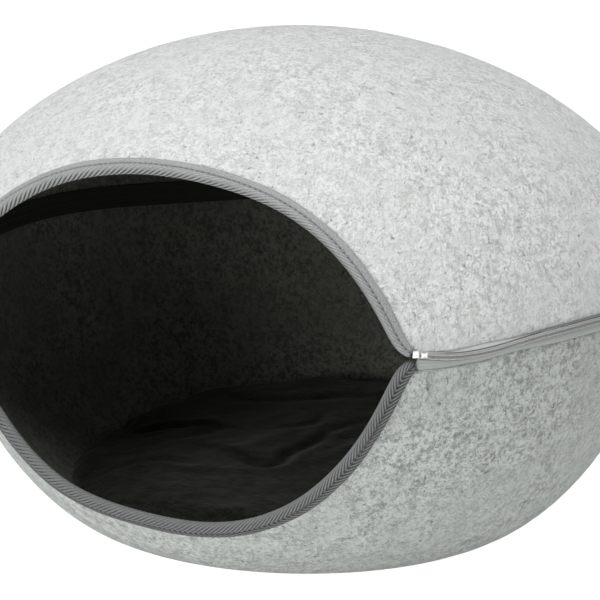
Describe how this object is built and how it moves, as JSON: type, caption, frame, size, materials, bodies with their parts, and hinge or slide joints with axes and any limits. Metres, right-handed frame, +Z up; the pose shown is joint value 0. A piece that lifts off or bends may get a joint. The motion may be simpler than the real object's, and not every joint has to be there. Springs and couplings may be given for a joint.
{
  "type": "felt pet cave",
  "caption": "Egg-shaped felt pet cave with an eye-shaped opening, bound lips, a zip round the middle and a loose plush cushion inside.",
  "frame": {"origin": "centre of the flat foot, on the floor and on the egg's upright axis", "axes": "+Z up, -Y out through the opening, +X to the right as one looks in"},
  "size_m": [0.4818, 0.4175, 0.3208],
  "materials": {
    "felt_light": "light grey marled needle felt, matte and slightly hairy",
    "felt_dark": "anthracite marled needle felt, matte",
    "binding": "mid grey herringbone tape, matte",
    "zip_tape": "light grey woven tape",
    "zip_coil": "grey nylon coil, half matt",
    "facing": "smooth black tape",
    "bright_metal": "bright plated",
    "plush": "anthracite short-pile plush"
  },
  "bodies": {
    "root": {"dome_felt": "felt_light", "bowl_felt": "felt_light", "dome_lining": "felt_dark", "bowl_lining": "felt_dark", "dome_binding": "binding", "bowl_binding": "binding", "upper_zip_tape": "zip_tape", "lower_zip_tape": "zip_tape", "zip_coil": "zip_coil", "zip_facing": "facing", "zip_box": "bright_metal", "zip_stop": "bright_metal", "zip_slider": "bright_metal", "zip_pull": "bright_metal", "cushion": "plush"}
  },
  "joints": []
}
